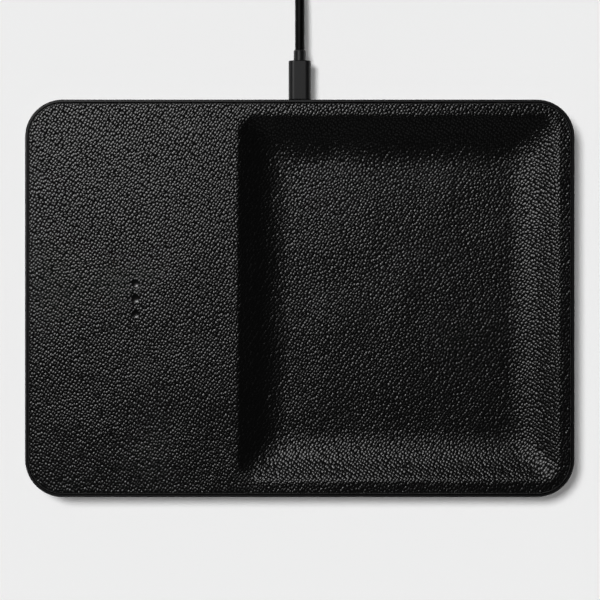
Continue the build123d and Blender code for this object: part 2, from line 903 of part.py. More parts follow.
def make_far_shell():
    start = far_start_x + far_collar_length + far_body_length
    shell = bar_right(start, tail_y, far_z, far_shell_width, far_shell_height, far_shell_corner,
                      far_shell_length)
    inner_width = far_shell_width - 2 * far_shell_wall
    inner_height = far_shell_height - 2 * far_shell_wall
    inner_corner = far_shell_corner - far_shell_wall / 2
    shell -= bar_right(start, tail_y, far_z, inner_width, inner_height, inner_corner, far_shell_length)
    for side in (-1, 1):
        x = start + far_shell_length - far_window_set_back
        shell -= block(x, tail_y + side * far_window_spacing / 2, far_z, far_window_size, far_window_size,
                       far_shell_height)
    return shell


def make_far_insulator():
    start = far_start_x + far_collar_length + far_body_length
    width = far_shell_width - 2 * far_shell_wall - 2 * far_shell_corner
    bottom = far_z - far_shell_height / 2 + far_shell_wall
    length = far_shell_length - far_insulator_set_back
    return block(start + length / 2, tail_y, bottom, length, width, far_insulator_height)


nodes = {
    "non_slip_pad": make_non_slip_pad(),
    "base_plate": make_base_plate(),
    "base_screws": make_base_screws(),
    "rim_frame": make_rim_frame(),
    "leather_top": make_leather_top(),
    "top_form": make_top_form(),
    "coil_front": make_charging_coil(-side_coil_offset, side_coil_bottom),
    "coil_middle": make_charging_coil(0, middle_coil_bottom),
    "coil_rear": make_charging_coil(side_coil_offset, side_coil_bottom),
    "ferrite_sheet": make_ferrite_sheet(),
    "coil_carrier": make_coil_carrier(),
    "carrier_screws": small_screws([(x, y, carrier_bottom) for x, y in carrier_screw_places()]),
    "thermistor": make_thermistor(),
    "main_board": make_main_board(),
    "board_screws": small_screws([(x, y, board_bottom) for x, y in main_board_screw_places()]),
    "controller_chips": make_controller_chips(),
    "power_inductors": make_power_inductors(),
    "resonance_capacitors": make_resonance_capacitors(),
    "coil_headers": make_coil_headers(),
    "coil_leads": make_coil_leads(),
    "usb_board": make_usb_board(),
    "usb_board_screws": small_screws([(x, y, board_bottom) for x, y in usb_board_screw_places()]),
    "flex_cable": make_flex_cable(),
    "flex_connectors": make_flex_connectors(),
    "socket_shell": make_socket_shell(),
    "socket_tongue": make_socket_tongue(),
    "plug_shell": make_plug_shell(),
    "plug_insulator": make_plug_insulator(),
    "plug_overmould": make_plug_overmould(),
    "plug_collar": make_plug_collar(),
    "cord_lead": cord_tube("cord_lead", lead_route),
    "cord_coil": make_cord_coil(),
    "cord_tail": cord_tube("cord_tail", tail_route),
    "cord_tie": make_cord_tie(),
    "far_collar": make_far_collar(),
    "far_overmould": make_far_overmould(),
    "far_shell": make_far_shell(),
    "far_insulator": make_far_insulator(),
}

os.makedirs("parts", exist_ok=True)
for name, shape in nodes.items():
    export_step(shape, "parts/" + name + ".step")
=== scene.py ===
import math

import bmesh
import bpy
from bpy.props import FloatProperty, FloatVectorProperty, PointerProperty
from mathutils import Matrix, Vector


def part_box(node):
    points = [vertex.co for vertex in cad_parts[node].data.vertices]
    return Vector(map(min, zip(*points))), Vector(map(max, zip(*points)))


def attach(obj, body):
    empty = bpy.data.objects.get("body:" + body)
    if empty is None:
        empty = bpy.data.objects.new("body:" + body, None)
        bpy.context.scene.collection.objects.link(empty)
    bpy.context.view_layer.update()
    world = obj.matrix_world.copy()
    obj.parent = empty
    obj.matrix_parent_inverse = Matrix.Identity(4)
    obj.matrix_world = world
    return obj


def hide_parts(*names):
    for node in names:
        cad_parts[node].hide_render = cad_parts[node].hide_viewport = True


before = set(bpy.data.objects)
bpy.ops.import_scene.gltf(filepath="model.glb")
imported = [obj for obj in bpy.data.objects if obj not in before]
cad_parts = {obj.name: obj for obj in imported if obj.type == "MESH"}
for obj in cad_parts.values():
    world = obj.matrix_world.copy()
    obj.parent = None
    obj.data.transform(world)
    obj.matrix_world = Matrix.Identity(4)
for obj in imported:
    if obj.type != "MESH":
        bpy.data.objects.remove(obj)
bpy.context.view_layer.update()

bl_info = {
    "name": "Charging Tray",
    "version": (1, 0, 0),
    "blender": (4, 5, 0),
    "location": "View3D > Sidebar > Charging Tray",
    "description": "Leather-topped wireless charging tray with a dished recess and its coiled cable",
    "category": "Object",
}

# Lengths are in metres. The model's own lowest and highest corners give the places.
MM = 0.001
RIM_LOW, RIM_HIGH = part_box("rim_frame")
COVER_LOW, COVER_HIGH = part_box("leather_top")
BOARD_LOW, BOARD_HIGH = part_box("usb_board")
SHELL_LOW, SHELL_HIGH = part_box("socket_shell")
TONGUE_LOW, TONGUE_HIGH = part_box("socket_tongue")
TIE_LOW, TIE_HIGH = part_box("cord_tie")
FAR_BLOCK_LOW, FAR_BLOCK_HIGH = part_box("far_insulator")
TRAY_LENGTH = RIM_HIGH.x - RIM_LOW.x
TRAY_DEPTH = RIM_HIGH.y - RIM_LOW.y
TOP = COVER_HIGH.z
RIGHT_ANGLE = math.pi / 2
# Two heights nearer than this count as the same
CLOSE = 0.01 * MM
# The wave texture's period at a scale of 1
WAVE_PERIOD = 0.314


def linear(code):
    """A colour's sRGB hex code as linear red, green, blue and full alpha."""
    shares = [int(code[start:start + 2], 16) / 255 for start in (1, 3, 5)]
    curve = [share / 12.92 if share <= 0.04045 else ((share + 0.055) / 1.055) ** 2.4 for share in shares]
    return (*curve, 1.0)


def length(name, default, description):
    """A length that the user can change."""
    return FloatProperty(name=name, description=description, default=default, min=0.0, precision=5,
                         unit="LENGTH", subtype="DISTANCE")


def colour(name, code, description):
    """A colour that the user can change."""
    return FloatVectorProperty(name=name, description=description, default=linear(code), size=4, min=0.0,
                               max=1.0, subtype="COLOR")


class ChargingTraySizes(bpy.types.PropertyGroup):
    """Sizes of the tray's cover and of its cable"""

    tray_corner: length("Tray corner", 18 * MM, "Radius of the tray's corners, seen from above")
    edge_round: length("Edge round", 0.9 * MM, "Radius of the cover's outer edge")
    leather_thickness: length("Leather thickness", 1.2 * MM, "Thickness of the leather")
    recess_border: length("Recess border", 8 * MM,
                          "From the tray's edge to the recess, at its three outer sides")
    charge_width: length("Charging width", 102.7 * MM, "From the tray's left edge to the recess")
    floor_height: length("Floor height", 9.3 * MM, "Height of the recess's floor over the table")
    wall_width: length("Wall width", 24.2 * MM, "Width of the recess's sloping walls, seen from above")
    wall_slope: FloatProperty(name="Wall slope",
                              description="How steep the recess's walls are at their top",
                              default=math.radians(24), min=0.1, max=1.5, subtype="ANGLE")
    recess_corner: length("Recess corner", 8 * MM, "Radius of the recess's corners, seen from above")
    crest_round: length("Crest round", 7 * MM, "Radius of the edge where the walls meet the top")
    dimple_offset: length("Dimple offset", 53 * MM, "From the tray's left edge to the dimples")
    dimple_pitch: length("Dimple pitch", 7.4 * MM, "From one dimple's centre to the next")
    dimple_radius: length("Dimple radius", 2 * MM, "Radius of each dimple at its mouth")
    dimple_drop: length("Dimple depth", 0.25 * MM, "Depth of each dimple")
    grain_length: length("Grain length", 1.52 * MM, "Length of the leather's pebbles, along their rows")
    grain_width: length("Grain width", 1.36 * MM, "Width of the leather's pebbles, across their rows")
    grain_height: length("Grain height", 0.34 * MM, "How steeply the leather's pebbles rise")
    cord_radius: length("Cord radius", 2.25 * MM, "Radius of the cord")
    strap_thickness: length("Strap thickness", 0.6 * MM, "Thickness of the strap round the coil")
    strap_corner: length("Strap corner", 2.4 * MM, "Outer radius of the strap's bends")
    strap_tab: length("Strap tab", 17 * MM, "Length of the strap's end that lies over its start")
    thread_pitch: length("Thread pitch", 0.5 * MM, "From one of the strap's threads to the next")


class ChargingTrayColours(bpy.types.PropertyGroup):
    """Colours of the tray's visible finishes"""

    leather: colour("Leather", "#040404", "Colour of the cover's leather")
    rim: colour("Rim", "#020203", "Colour of the rim frame")
    plug: colour("Plug", "#070708", "Colour of the plugs' moulded bodies")
    cord: colour("Cord", "#020202", "Colour of the cord's jacket")
    strap: colour("Strap", "#08080a", "Colour of the strap round the coil")
    floor: colour("Floor", "#ededed", "Colour of the table under the tray")


def sizes():
    """The sizes that the sidebar shows."""
    return bpy.context.scene.charging_tray_sizes


def colours():
    """The colours that the sidebar shows."""
    return bpy.context.scene.charging_tray_colours


# Materials

def add_node(tree, kind, inputs=None, **settings):
    """Adds a node with its own settings; each input takes a value, or a socket to link from."""
    node = tree.nodes.new(kind)
    for name, value in settings.items():
        setattr(node, name, value)
    for key, value in (inputs or {}).items():
        if isinstance(value, bpy.types.NodeSocket):
            tree.links.new(value, node.inputs[key])
        else:
            node.inputs[key].default_value = value
    return node


def new_finish(name, base_colour, roughness, metallic=0.0):
    """A material with one shader, and that material's node tree and shader."""
    material = bpy.data.materials.new(name)
    material.use_nodes = True
    shader = material.node_tree.nodes["Principled BSDF"]
    shader.inputs["Base Color"].default_value = base_colour
    shader.inputs["Roughness"].default_value = roughness
    shader.inputs["Metallic"].default_value = metallic
    return material, material.node_tree, shader


def pebble_grain_leather():
    """Full-grain leather, embossed with a pebble grain and finished satin."""
    size = sizes()
    material, tree, shader = new_finish("Leather, pebble grain", colours().leather, 0.26)
    place = add_node(tree, "ShaderNodeTexCoord").outputs["Object"]
    # The rows of pebbles wander: a slow drift turns them and a quick one makes each pebble its own shape
    slow = add_node(tree, "ShaderNodeTexNoise", {"Vector": place, "Scale": 1 / (30 * MM), "Detail": 1.0})
    quick = add_node(tree, "ShaderNodeTexNoise", {"Vector": place, "Scale": 1 / (3.2 * MM), "Detail": 1.0})
    slow_drift = add_node(tree, "ShaderNodeVectorMath", {0: slow.outputs["Color"], 1: (0.5, 0.5, 0.5)},
                          operation="SUBTRACT")
    quick_drift = add_node(tree, "ShaderNodeVectorMath", {0: quick.outputs["Color"], 1: (0.5, 0.5, 0.5)},
                           operation="SUBTRACT")
    turned = add_node(tree, "ShaderNodeVectorMath", {
        0: slow_drift.outputs[0], 1: (3.5 * MM, 3.5 * MM, 0.0), 2: place,
    }, operation="MULTIPLY_ADD")
    warped = add_node(tree, "ShaderNodeVectorMath", {
        0: quick_drift.outputs[0], 1: (0.4 * MM, 0.4 * MM, 0.0), 2: turned.outputs[0],
    }, operation="MULTIPLY_ADD")
    rows = add_node(tree, "ShaderNodeMapping", {
        "Vector": warped.outputs[0], "Rotation": (0.0, 0.0, math.radians(-57)),
    }, vector_type="POINT")
    stretched = add_node(tree, "ShaderNodeVectorMath", {
        0: rows.outputs[0], 1: (1 / size.grain_length, 1 / size.grain_width, 1.0),
    }, operation="MULTIPLY")
    # Each pebble is a round dome that meets its neighbours in a sharp crease. The real ones are a little
    # finer: these are drawn just coarse enough to show in the render
    pebbles = add_node(tree, "ShaderNodeTexVoronoi", {
        "Vector": stretched.outputs[0], "Scale": 1.0, "Randomness": 0.55,
    }, feature="F1", voronoi_dimensions="2D")
    squared = add_node(tree, "ShaderNodeMath", {
        0: pebbles.outputs["Distance"], 1: pebbles.outputs["Distance"],
    }, operation="MULTIPLY")
    bump = add_node(tree, "ShaderNodeBump", {
        "Strength": 1.0, "Distance": size.grain_height, "Height": squared.outputs[0],
    }, invert=True)
    tree.links.new(bump.outputs[0], shader.inputs["Normal"])
    return material


def pressed_leather():
    """The same leather where a hot stamp has pressed its grain flat."""
    material, tree, shader = new_finish("Leather, hot-stamped smooth", colours().leather, 0.22)
    place = add_node(tree, "ShaderNodeTexCoord").outputs["Object"]
    pores = add_node(tree, "ShaderNodeTexNoise", {"Vector": place, "Scale": 1 / (0.4 * MM), "Detail": 2.0})
    bump = add_node(tree, "ShaderNodeBump", {
        "Strength": 1.0, "Distance": 0.006 * MM, "Height": pores.outputs["Fac"],
    })
    tree.links.new(bump.outputs[0], shader.inputs["Normal"])
    return material


def grainy_finish(name, base_colour, roughness, grit, depth, metallic=0.0):
    """A moulded, coated or plated surface: a fine texture that also varies its shine and its shade."""
    material, tree, shader = new_finish(name, base_colour, roughness, metallic)
    place = add_node(tree, "ShaderNodeTexCoord").outputs["Object"]
    texture = add_node(tree, "ShaderNodeTexNoise", {"Vector": place, "Scale": 1 / grit, "Detail": 3.0})
    bump = add_node(tree, "ShaderNodeBump", {
        "Strength": 1.0, "Distance": depth, "Height": texture.outputs["Fac"],
    })
    tree.links.new(bump.outputs[0], shader.inputs["Normal"])
    rough = add_node(tree, "ShaderNodeMapRange", {
        "Value": texture.outputs["Fac"], "To Min": roughness - 0.05, "To Max": roughness + 0.05,
    })
    tree.links.new(rough.outputs[0], shader.inputs["Roughness"])
    shade = add_node(tree, "ShaderNodeHueSaturation", {"Color": base_colour})
    change = add_node(tree, "ShaderNodeMapRange", {
        "Value": texture.outputs["Fac"], "To Min": 0.9, "To Max": 1.1,
    })
    tree.links.new(change.outputs[0], shade.inputs["Value"])
    tree.links.new(shade.outputs[0], shader.inputs["Base Color"])
    return material


def cord_jacket():
    """Thermoplastic rubber, extruded: nearly black, with a faint drawn shine along the cord."""
    material, tree, shader = new_finish("Cord jacket, extruded TPE", colours().cord, 0.5)
    # Soft jackets shine less than hard plastic
    shader.inputs["Specular IOR Level"].default_value = 0.12
    place = add_node(tree, "ShaderNodeTexCoord").outputs["Object"]
    texture = add_node(tree, "ShaderNodeTexNoise", {
        "Vector": place, "Scale": 1 / (0.6 * MM), "Detail": 3.0,
    })
    bump = add_node(tree, "ShaderNodeBump", {
        "Strength": 1.0, "Distance": 0.004 * MM, "Height": texture.outputs["Fac"],
    })
    tree.links.new(bump.outputs[0], shader.inputs["Normal"])
    rough = add_node(tree, "ShaderNodeMapRange", {
        "Value": texture.outputs["Fac"], "To Min": 0.44, "To Max": 0.56,
    })
    tree.links.new(rough.outputs[0], shader.inputs["Roughness"])
    return material


def woven_strap():
    """Polyamide ribbon, woven: rows of small round threads."""
    pitch = sizes().thread_pitch
    material, tree, shader = new_finish("Polyamide ribbon, woven", colours().strap, 0.75)
    place = add_node(tree, "ShaderNodeTexCoord").outputs["Object"]
    # One thread is one period of the wave
    warp = add_node(tree, "ShaderNodeTexWave", {"Vector": place, "Scale": WAVE_PERIOD / pitch},
                    wave_type="BANDS", bands_direction="X", wave_profile="SIN")
    weft = add_node(tree, "ShaderNodeTexWave", {"Vector": place, "Scale": WAVE_PERIOD / pitch},
                    wave_type="BANDS", bands_direction="Y", wave_profile="SIN")
    threads = add_node(tree, "ShaderNodeMath", {0: warp.outputs["Fac"], 1: weft.outputs["Fac"]},
                       operation="MULTIPLY")
    bump = add_node(tree, "ShaderNodeBump", {
        "Strength": 1.0, "Distance": 0.12 * MM, "Height": threads.outputs[0],
    })
    tree.links.new(bump.outputs[0], shader.inputs["Normal"])
    # The colour is painted from the threads' height: painted shade in the valleys between the threads, and
    # painted light on their crowns
    shade = add_node(tree, "ShaderNodeHueSaturation", {"Color": colours().strap})
    change = add_node(tree, "ShaderNodeMapRange", {
        "Value": threads.outputs[0], "To Min": 0.5, "To Max": 1.6,
    })
    tree.links.new(change.outputs[0], shade.inputs["Value"])
    tree.links.new(shade.outputs[0], shader.inputs["Base Color"])
    return material


def wound_copper():
    """Litz wire, wound: fine copper strands under a clear enamel."""
    material, tree, shader = new_finish("Copper, enamelled litz wire", linear("#c06a3a"), 0.32, 1.0)
    place = add_node(tree, "ShaderNodeTexCoord").outputs["Object"]
    strands = add_node(tree, "ShaderNodeTexNoise", {
        "Vector": place, "Scale": 1 / (0.5 * MM), "Detail": 4.0,
    })
    bump = add_node(tree, "ShaderNodeBump", {
        "Strength": 1.0, "Distance": 0.03 * MM, "Height": strands.outputs["Fac"],
    })
    tree.links.new(bump.outputs[0], shader.inputs["Normal"])
    shade = add_node(tree, "ShaderNodeHueSaturation", {"Color": linear("#c06a3a")})
    change = add_node(tree, "ShaderNodeMapRange", {
        "Value": strands.outputs["Fac"], "To Min": 0.7, "To Max": 1.2,
    })
    tree.links.new(change.outputs[0], shade.inputs["Value"])
    tree.links.new(shade.outputs[0], shader.inputs["Base Color"])
    shader.inputs["Coat Weight"].default_value = 0.6
    return material


def gold_plate():
    """Gold flash over nickel: bright yellow, with faint wipe marks."""
    return grainy_finish("Gold plate, flash over nickel", linear("#e0b050"), 0.22, 0.3 * MM, 0.001 * MM,
                         metallic=1.0)


def paper_floor():
    """A sheet of matt paper, even all over."""
    material, _, shader = new_finish("Paper, matt", colours().floor, 0.95)
    shader.inputs["Specular IOR Level"].default_value = 0.0
    return material


# Making and shaping

def start_outline(name, place, width, depth, corner, segments=12):
    """A flat rounded rectangle, left in edit mode with its face selected."""
    bpy.ops.object.select_all(action="DESELECT")
    bpy.ops.mesh.primitive_plane_add(size=1, location=place)
    piece = bpy.context.active_object
    piece.name = name
    piece.scale = (width, depth, 1)
    bpy.ops.object.transform_apply(location=True, rotation=True, scale=True)
    bpy.ops.object.mode_set(mode="EDIT")
    bpy.ops.mesh.select_mode(type="VERT")
    bpy.ops.mesh.select_all(action="SELECT")
    bpy.ops.mesh.bevel(offset=corner, offset_type="OFFSET", affect="VERTICES", segments=segments)
    bpy.ops.mesh.select_all(action="SELECT")
    return piece


def raise_face(rise):
    """Extrudes the selected face straight up, or down for a negative rise."""
    bpy.ops.mesh.extrude_region_move(TRANSFORM_OT_translate={"value": (0, 0, rise)})


def round_over(radius, steps, turn=RIGHT_ANGLE):
    """Rounds the selected face's edge by rings that are each a true offset of the last."""
    for step in range(steps):
        start = turn * step / steps
        end = turn * (step + 1) / steps
        inward = radius * (math.cos(start) - math.cos(end))
        rise = radius * (math.sin(end) - math.sin(start))
        bpy.ops.mesh.inset(thickness=inward, depth=rise, use_even_offset=True)


def select_vertices(piece, wanted):
    """Selects the vertices that pass a test, and the faces that they close."""
    bpy.ops.mesh.select_all(action="DESELECT")
    mesh = bmesh.from_edit_mesh(piece.data)
    for vertex in mesh.verts:
        vertex.select = wanted(vertex)
    mesh.select_flush(True)
    bmesh.update_edit_mesh(piece.data)


def sink_ring(piece, centre, inward, rise):
    """Extrudes the selected face and moves its four corners alike, so that they keep their radius."""
    raise_face(rise)
    ring = {vertex.index for vertex in bmesh.from_edit_mesh(piece.data).verts if vertex.select}
    for side_x in (-1, 1):
        for side_y in (-1, 1):
            select_vertices(piece, lambda vertex: vertex.index in ring
                            and (vertex.co.x - centre.x) * side_x > 0
                            and (vertex.co.y - centre.y) * side_y > 0)
            bpy.ops.transform.translate(value=(-side_x * inward, -side_y * inward, 0))
    select_vertices(piece, lambda vertex: vertex.index in ring)


def cut_away(piece, tool):
    """Cuts a tool's shape out of a piece and removes the tool."""
    bpy.ops.object.select_all(action="DESELECT")
    bpy.context.view_layer.objects.active = piece
    piece.select_set(True)
    cut = piece.modifiers.new("cut", "BOOLEAN")
    cut.operation = "DIFFERENCE"
    cut.solver = "EXACT"
    cut.object = tool
    bpy.ops.object.modifier_apply(modifier=cut.name)
    bpy.data.objects.remove(tool)


def join_pieces(pieces):
    """Joins pieces into the first of them."""
    bpy.ops.object.select_all(action="DESELECT")
    for piece in pieces:
        piece.select_set(True)
    bpy.context.view_layer.objects.active = pieces[0]
    bpy.ops.object.join()
    return pieces[0]


def make_block(name, low, high):
    """A plain block between two corners."""
    bpy.ops.object.select_all(action="DESELECT")
    bpy.ops.mesh.primitive_cube_add(size=1, location=(low + high) / 2)
    block = bpy.context.active_object
    block.name = name
    block.scale = high - low
    bpy.ops.object.transform_apply(location=True, rotation=True, scale=True)
    return block


def place_piece(piece, turn=(0.0, 0.0, 0.0), move=(0.0, 0.0, 0.0)):
    """Turns and moves a finished piece, and leaves its place in its mesh."""
    bpy.ops.object.select_all(action="DESELECT")
    bpy.context.view_layer.objects.active = piece
    piece.select_set(True)
    piece.rotation_euler = turn
    piece.location = move
    bpy.ops.object.transform_apply(location=True, rotation=True, scale=True)


def finish_piece(piece, body, material, smooth_angle=35):
    """Gives a mesh piece its shading, its material and the body that it rides on."""
    bpy.ops.object.select_all(action="DESELECT")
    bpy.context.view_layer.objects.active = piece
    piece.select_set(True)
    bpy.ops.object.shade_smooth_by_angle(angle=math.radians(smooth_angle))
    piece.data.materials.clear()
    piece.data.materials.append(material)
    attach(piece, body)


def dress_nodes(material, *names):
    """Gives the model's own parts a material."""
    for name in names:
        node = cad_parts[name]
        node.data.materials.clear()
        node.data.materials.append(material)


# Cord

def coil_points():
    """Control points of the coil: in on the lower layer, up, and out again on the upper one."""
    centre_y = 0.1863
    low = 0.00295
    pitch = 0.005
    per_half_turn = 8
    widest = 0.0355
    half_turns = []
    x = 0.0009
    radius = widest
    forwards = 1
    for number in range(16):
        half_turns.append((x + forwards * radius, radius, forwards, number))
        x += 2 * forwards * radius
        radius += -pitch / 2 if number < 8 else pitch / 2
        forwards = -forwards
    points = []
    reach = 1 / math.cos(math.pi / (2 * per_half_turn))
    for centre_x, radius, forwards, number in half_turns:
        for step in range(per_half_turn):
            share = (step + 0.5) / per_half_turn
            angle = math.pi * (1 - share)
            climb = 0.0 if number < 8 else 1.0
            if number == 8:
                climb = (1 - math.cos(math.pi * share)) / 2
            points.append((
                centre_x + forwards * radius * reach * math.cos(angle),
                centre_y + forwards * radius * reach * math.sin(angle),
                low + climb * pitch,
            ))
    # The last quarter turn leads over the top to the tail
    for step in range(per_half_turn // 2):
        angle = math.pi * (1 - (step + 0.5) / per_half_turn)
        points.append((
            x + widest + widest * reach * math.cos(angle),
            centre_y + widest * reach * math.sin(angle),
            low + pitch,
        ))
    return points


def cord_points():
    """The whole cord, from the near plug to the far one."""
    points = [
        (0.0, 0.1198, 0.00863),
        (0.0, 0.1448, 0.00863),
        (0.0, 0.1588, 0.00295),
        (0.0009, 0.1703, 0.00295),
        (0.0009, 0.1818, 0.00295),
    ]
    points += coil_points()
    points += [
        (0.0409, 0.2218, 0.00795),
        (0.0489, 0.2218, 0.00795),
        (0.0624, 0.2218, 0.0038),
        (0.0714, 0.2218, 0.0038),
    ]
    return points


def make_cord():
    """The whole cord as one smooth spline."""
    points = cord_points()
    data = bpy.data.curves.new("cord", "CURVE")
    data.dimensions = "3D"
    spline = data.splines.new("NURBS")
    spline.points.add(len(points) - 1)
    for point, place in zip(spline.points, points):
        point.co = (*place, 1.0)
    spline.order_u = 3
    spline.use_endpoint_u = True
    spline.resolution_u = 6
    data.bevel_depth = sizes().cord_radius
    data.bevel_resolution = 5
    data.use_fill_caps = True
    cord = bpy.data.objects.new("cord", data)
    bpy.context.scene.collection.objects.link(cord)
    data.materials.append(cord_jacket())
    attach(cord, "cable")
    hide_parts("cord_lead", "cord_coil", "cord_tail")
    return cord


# Leather cover

def recess_steps(flat_ring):
    """The recess's wall from its crest to its floor: how far in from the edge, and how far over the top."""
    size = sizes()
    drop = TOP - size.floor_height
    slope = size.wall_slope
    crest_reach = size.crest_round * math.tan(slope / 2)
    cove_radius = (size.wall_width - drop / math.tan(slope)) / math.tan(slope / 2)
    steps = [(-crest_reach - flat_ring, 0.0)]
    crest_steps = 8
    for step in range(crest_steps + 1):
        angle = slope * step / crest_steps
        steps.append((size.crest_round * math.sin(angle) - crest_reach,
                      size.crest_round * (math.cos(angle) - 1)))
    cove_steps = 16
    for step in range(cove_steps + 1):
        angle = slope * (1 - step / cove_steps)
        steps.append((size.wall_width - cove_radius * math.sin(angle),
                      cove_radius * (1 - math.cos(angle)) - drop))
    steps.append((size.wall_width + flat_ring, -drop))
    return steps


def make_leather_cover():
    """The cover: a skirt, a rounded edge, the top, the dished recess and three dimples."""
    size = sizes()
    inset = COVER_LOW.x - RIM_LOW.x
    skin = start_outline("leather_cover", (0, 0, COVER_LOW.z), TRAY_LENGTH - 2 * inset,
                         TRAY_DEPTH - 2 * inset, size.tray_corner - inset, 16)
    raise_face(TOP - size.edge_round - COVER_LOW.z)
    round_over(size.edge_round, 10)
    flat_ring = 0.3 * MM
    bpy.ops.mesh.inset(thickness=flat_ring, use_even_offset=True)
    bpy.ops.mesh.delete(type="FACE")
    select_vertices(skin, lambda vertex: abs(vertex.co.z - COVER_LOW.z) < CLOSE)
    bpy.ops.mesh.delete(type="ONLY_FACE")
    bpy.ops.object.mode_set(mode="OBJECT")

    # Steps of the recess: how far in from its nominal edge and how far under the top
    recess_length = TRAY_LENGTH - size.charge_width - size.recess_border
    recess_depth = TRAY_DEPTH - 2 * size.recess_border
    centre = Vector((RIM_HIGH.x - size.recess_border - recess_length / 2, 0, TOP))
    steps = recess_steps(flat_ring)
    first_inset = steps[0][0]
    recess = start_outline("recess", centre, recess_length - 2 * first_inset,
                           recess_depth - 2 * first_inset, size.recess_corner, 16)
    for (inset_before, rise_before), (inset_after, rise_after) in zip(steps, steps[1:]):
        sink_ring(recess, centre, inset_after - inset_before, rise_after - rise_before)
    mesh = bmesh.from_edit_mesh(recess.data)
    for face in mesh.faces:
        face.select = len(face.verts) > 4 and face.calc_center_median().z > TOP - CLOSE
    bpy.ops.mesh.delete(type="FACE")
    bpy.ops.object.mode_set(mode="OBJECT")

    cover = join_pieces([skin, recess])
    bpy.ops.object.mode_set(mode="EDIT")
    bpy.ops.mesh.select_mode(type="EDGE")
    bpy.ops.mesh.select_all(action="DESELECT")
    mesh = bmesh.from_edit_mesh(cover.data)
    for edge in mesh.edges:
        edge.select = edge.is_boundary and all(vertex.co.z > TOP - CLOSE for vertex in edge.verts)
    bmesh.update_edit_mesh(cover.data)
    bpy.ops.mesh.bridge_edge_loops()
    bpy.ops.mesh.select_mode(type="VERT")
    bpy.ops.mesh.select_all(action="SELECT")
    bpy.ops.mesh.normals_make_consistent(inside=False)
    mesh = bmesh.from_edit_mesh(cover.data)
    floor = max(mesh.faces, key=lambda face: len(face.verts))
    if floor.normal.z < 0:
        bpy.ops.mesh.flip_normals()
    bpy.ops.object.mode_set(mode="OBJECT")
    skin_depth = cover.modifiers.new("thickness", "SOLIDIFY")
    skin_depth.thickness = size.leather_thickness
    skin_depth.offset = -1.0
    skin_depth.use_even_offset = True
    bpy.ops.object.modifier_apply(modifier=skin_depth.name)

    # A notch behind the port, so that the socket and its board have room
    gap = 0.6 * MM
    overrun = 1 * MM
    notch_low = Vector((BOARD_LOW.x - gap, SHELL_LOW.y, COVER_LOW.z - overrun))
    notch_high = Vector((BOARD_HIGH.x + gap, RIM_HIGH.y, SHELL_HIGH.z + gap))
    cut_away(cover, make_block("notch", notch_low, notch_high))

    ball_radius = (size.dimple_radius**2 + size.dimple_drop**2) / (2 * size.dimple_drop)
    centres = [Vector((RIM_LOW.x + size.dimple_offset, row * size.dimple_pitch, TOP)) for row in (-1, 0, 1)]
    for centre in centres:
        bpy.ops.object.select_all(action="DESELECT")
        ball_place = centre + Vector((0, 0, ball_radius - size.dimple_drop))
        bpy.ops.mesh.primitive_uv_sphere_add(segments=64, ring_count=48, radius=ball_radius,
                                             location=ball_place)
        cut_away(cover, bpy.context.active_object)
    finish_piece(cover, "tray", pebble_grain_leather(), smooth_angle=10.5)
    cover.data.materials.append(pressed_leather())
    least_depth = 0.002 * MM
    for face in cover.data.polygons:
        pressed = min((face.center - centre).length for centre in centres) < size.dimple_radius
        face.material_index = int(pressed and face.center.z < TOP - least_depth)
    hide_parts("leather_top")
    return cover


# Strap round the coil

def make_strap():
    """A woven strap round one side of the coil, its end laid over its start."""
    size = sizes()
    width = TIE_HIGH.x - TIE_LOW.x
    height = TIE_HIGH.z - TIE_LOW.z
    run = TIE_HIGH.y - TIE_LOW.y
    strap = start_outline("cord_strap", (0, 0, 0), width, height, size.strap_corner, 8)
    raise_face(run)
    bpy.ops.object.mode_set(mode="OBJECT")
    wall = size.strap_thickness
    hole = start_outline("hole", (0, 0, -run), width - 2 * wall, height - 2 * wall,
                         size.strap_corner - wall, 8)
    raise_face(3 * run)
    bpy.ops.object.mode_set(mode="OBJECT")
    cut_away(strap, hole)
    middle = (TIE_LOW + TIE_HIGH) / 2
    place_piece(strap, turn=(RIGHT_ANGLE, 0, 0), move=(middle.x, TIE_HIGH.y, middle.z))

    # The tab has round ends and is pressed a little into the strap under it
    sink = 0.1 * MM
    edge_round = 0.2 * MM
    tab_x = TIE_LOW.x + size.strap_corner + size.strap_tab / 2
    tab = start_outline("tab", (tab_x, middle.y, TIE_HIGH.z - sink), size.strap_tab, run, 0.3 * run, 8)
    raise_face(wall)
    round_over(edge_round, 3)
    bpy.ops.object.mode_set(mode="OBJECT")
    strap = join_pieces([strap, tab])
    finish_piece(strap, "cable", woven_strap())
    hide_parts("cord_tie")
    return strap


# Contacts

def make_contacts(name, centre, pitch, count, width, run, thickness, along, body):
    """A row of flat gold contacts, laid side by side on a block."""
    pads = []
    for number in range(count):
        aside = (number - (count - 1) / 2) * pitch
        middle = centre + (Vector((aside, 0, 0)) if along == "Y" else Vector((0, aside, 0)))
        half = Vector((width, run, thickness)) / 2 if along == "Y" else Vector((run, width, thickness)) / 2
        pads.append(make_block(name, middle - half, middle + half))
    row = join_pieces(pads)
    finish_piece(row, body, gold_plate())
    return row


# Lamps

def aim_lamp(lamp, place):
    """Puts a lamp at a place and turns it to the tray."""
    lamp.location = place
    lamp.rotation_euler = (-Vector(place)).to_track_quat("-Z", "Y").to_euler()
    bpy.context.scene.collection.objects.link(lamp)


def add_softbox(name, place, size, power):
    """A near softbox that shows in gloss and leaves the floor alone."""
    light = bpy.data.lights.new(name, "AREA")
    light.shape = "SQUARE"
    light.size = size
    light.energy = power
    lamp = bpy.data.objects.new(name, light)
    lamp.visible_diffuse = False
    aim_lamp(lamp, place)


def add_daylight(name, direction, width, strength):
    """A far, wide light that falls evenly on the floor and doesn't show in gloss."""
    light = bpy.data.lights.new(name, "SUN")
    light.angle = math.radians(width)
    light.energy = strength
    lamp = bpy.data.objects.new(name, light)
    lamp.visible_glossy = False
    aim_lamp(lamp, direction)


# Operators, in the order in which they run

